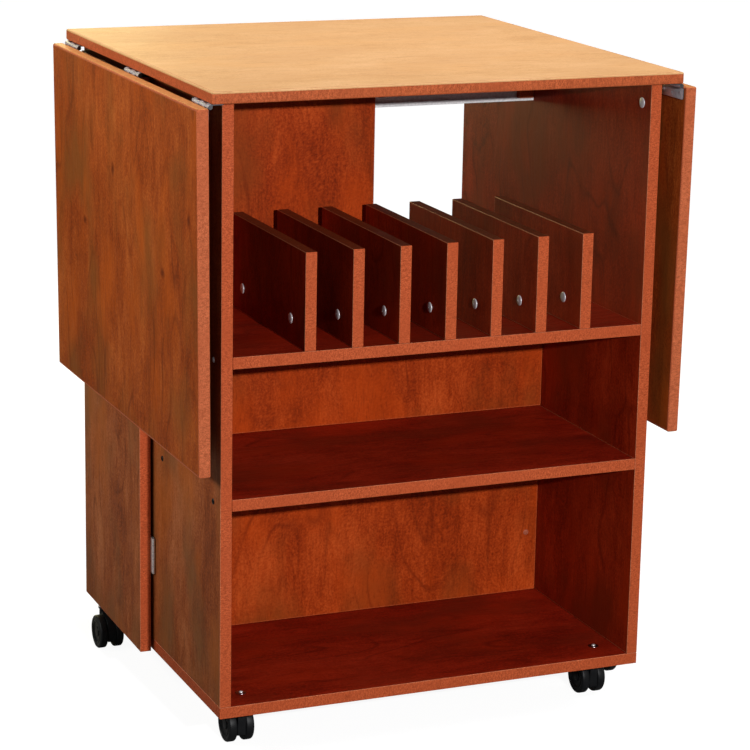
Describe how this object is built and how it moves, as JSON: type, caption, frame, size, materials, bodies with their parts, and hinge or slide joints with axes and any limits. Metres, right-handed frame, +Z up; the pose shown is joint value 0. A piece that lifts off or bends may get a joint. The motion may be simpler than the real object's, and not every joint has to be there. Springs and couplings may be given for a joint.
{
  "type": "drop-leaf cutting table",
  "caption": "Mobile sewing and cutting table: open cabinet with shelves and upright dividers, hinged drop leaves on swing-out gates, all on twin-wheel casters.",
  "frame": {"origin": "on the floor, under the centre of the table top", "axes": "+Z up, the open front with the dividers faces -Y, the leaves fold down at -X and +X"},
  "size_m": [0.717, 0.652, 0.914],
  "materials": {
    "top_laminate": "satin light cherry laminate with edge banding",
    "cherry_laminate": "satin cherry laminate with edge banding",
    "zinc": "bright zinc plating",
    "grey_steel": "satin grey",
    "black_nylon": "black moulded nylon"
  },
  "bodies": {
    "cabinet": {"top_board": "top_laminate", "left_side": "cherry_laminate", "right_side": "cherry_laminate", "bottom_board": "cherry_laminate", "lower_shelf": "cherry_laminate", "divider_shelf": "cherry_laminate", "divider_1": "cherry_laminate", "divider_2": "cherry_laminate", "divider_3": "cherry_laminate", "divider_4": "cherry_laminate", "divider_5": "cherry_laminate", "divider_6": "cherry_laminate", "divider_7": "cherry_laminate", "back_lower": "cherry_laminate", "back_middle": "cherry_laminate", "back_upper": "cherry_laminate", "rail": "grey_steel", "rail_block_left": "cherry_laminate", "rail_block_right": "cherry_laminate", "left_leaf_hinge_front_fixed": "zinc", "left_leaf_hinge_middle_fixed": "zinc", "left_leaf_hinge_rear_fixed": "zinc", "left_gate_hinge_lower_fixed": "zinc", "left_gate_hinge_upper_fixed": "zinc", "right_leaf_hinge_front_fixed": "zinc", "right_leaf_hinge_middle_fixed": "zinc", "right_leaf_hinge_rear_fixed": "zinc", "right_gate_hinge_lower_fixed": "zinc", "right_gate_hinge_upper_fixed": "zinc"},
    "left_leaf": {"left_leaf": "cherry_laminate", "left_leaf_hinge_front_moving": "zinc", "left_leaf_hinge_middle_moving": "zinc", "left_leaf_hinge_rear_moving": "zinc"},
    "left_gate": {"left_gate": "cherry_laminate", "left_gate_hinge_lower_moving": "zinc", "left_gate_hinge_upper_moving": "zinc"},
    "right_leaf": {"right_leaf": "cherry_laminate", "right_leaf_hinge_front_moving": "zinc", "right_leaf_hinge_middle_moving": "zinc", "right_leaf_hinge_rear_moving": "zinc"},
    "right_gate": {"right_gate": "cherry_laminate", "right_gate_hinge_lower_moving": "zinc", "right_gate_hinge_upper_moving": "zinc"},
    "front_left_caster_fork": {"front_left_caster_fork": "black_nylon"},
    "front_left_caster_wheels": {"front_left_caster_wheels": "black_nylon"},
    "front_right_caster_fork": {"front_right_caster_fork": "black_nylon"},
    "front_right_caster_wheels": {"front_right_caster_wheels": "black_nylon"},
    "rear_left_caster_fork": {"rear_left_caster_fork": "black_nylon"},
    "rear_left_caster_wheels": {"rear_left_caster_wheels": "black_nylon"},
    "rear_right_caster_fork": {"rear_right_caster_fork": "black_nylon"},
    "rear_right_caster_wheels": {"rear_right_caster_wheels": "black_nylon"},
    "left_gate_caster_fork": {"left_gate_caster_fork": "black_nylon"},
    "left_gate_caster_wheels": {"left_gate_caster_wheels": "black_nylon"},
    "right_gate_caster_fork": {"right_gate_caster_fork": "black_nylon"},
    "right_gate_caster_wheels": {"right_gate_caster_wheels": "black_nylon"}
  },
  "joints": [
    {"name": "left_leaf_hinge", "type": "hinge", "parent": "cabinet", "child": "left_leaf", "pos_m": [-0.3385, 0, 0.894], "axis": [0, 1, 0], "range_deg": [0, 90.5]},
    {"name": "right_leaf_hinge", "type": "hinge", "parent": "cabinet", "child": "right_leaf", "pos_m": [0.3385, 0, 0.894], "axis": [0, -1, 0], "range_deg": [0, 90.5]},
    {"name": "left_gate_hinge", "type": "hinge", "parent": "cabinet", "child": "left_gate", "pos_m": [-0.3196, -0.0268, 0.475], "axis": [0, 0, 1], "range_deg": [0, 0.75]},
    {"name": "right_gate_hinge", "type": "hinge", "parent": "cabinet", "child": "right_gate", "pos_m": [0.3196, 0.0268, 0.475], "axis": [0, 0, 1], "range_deg": [0, 0.75]},
    {"name": "front_left_swivel", "type": "hinge", "parent": "cabinet", "child": "front_left_caster_fork", "pos_m": [-0.2705, -0.2586, 0.05], "axis": [0, 0, 1], "continuous": true},
    {"name": "front_left_wheels_spin", "type": "hinge", "parent": "front_left_caster_fork", "child": "front_left_caster_wheels", "pos_m": [-0.2705, -0.2406, 0.025], "axis": [1, 0, 0], "continuous": true},
    {"name": "front_right_swivel", "type": "hinge", "parent": "cabinet", "child": "front_right_caster_fork", "pos_m": [0.2705, -0.2586, 0.05], "axis": [0, 0, 1], "continuous": true},
    {"name": "front_right_wheels_spin", "type": "hinge", "parent": "front_right_caster_fork", "child": "front_right_caster_wheels", "pos_m": [0.2705, -0.2406, 0.025], "axis": [1, 0, 0], "continuous": true},
    {"name": "rear_left_swivel", "type": "hinge", "parent": "cabinet", "child": "rear_left_caster_fork", "pos_m": [-0.2705, 0.2586, 0.05], "axis": [0, 0, 1], "continuous": true},
    {"name": "rear_left_wheels_spin", "type": "hinge", "parent": "rear_left_caster_fork", "child": "rear_left_caster_wheels", "pos_m": [-0.2705, 0.2766, 0.025], "axis": [1, 0, 0], "continuous": true},
    {"name": "rear_right_swivel", "type": "hinge", "parent": "cabinet", "child": "rear_right_caster_fork", "pos_m": [0.2705, 0.2586, 0.05], "axis": [0, 0, 1], "continuous": true},
    {"name": "rear_right_wheels_spin", "type": "hinge", "parent": "rear_right_caster_fork", "child": "rear_right_caster_wheels", "pos_m": [0.2705, 0.2766, 0.025], "axis": [1, 0, 0], "continuous": true},
    {"name": "left_gate_swivel", "type": "hinge", "parent": "left_gate", "child": "left_gate_caster_fork", "pos_m": [-0.32693, 0.19191, 0.05], "axis": [0, 0, 1], "continuous": true},
    {"name": "left_gate_wheels_spin", "type": "hinge", "parent": "left_gate_caster_fork", "child": "left_gate_caster_wheels", "pos_m": [-0.32693, 0.17391, 0.025], "axis": [1, 0, 0], "continuous": true},
    {"name": "right_gate_swivel", "type": "hinge", "parent": "right_gate", "child": "right_gate_caster_fork", "pos_m": [0.32693, -0.19191, 0.05], "axis": [0, 0, 1], "continuous": true},
    {"name": "right_gate_wheels_spin", "type": "hinge", "parent": "right_gate_caster_fork", "child": "right_gate_caster_wheels", "pos_m": [0.32693, -0.17391, 0.025], "axis": [1, 0, 0], "continuous": true}
  ]
}
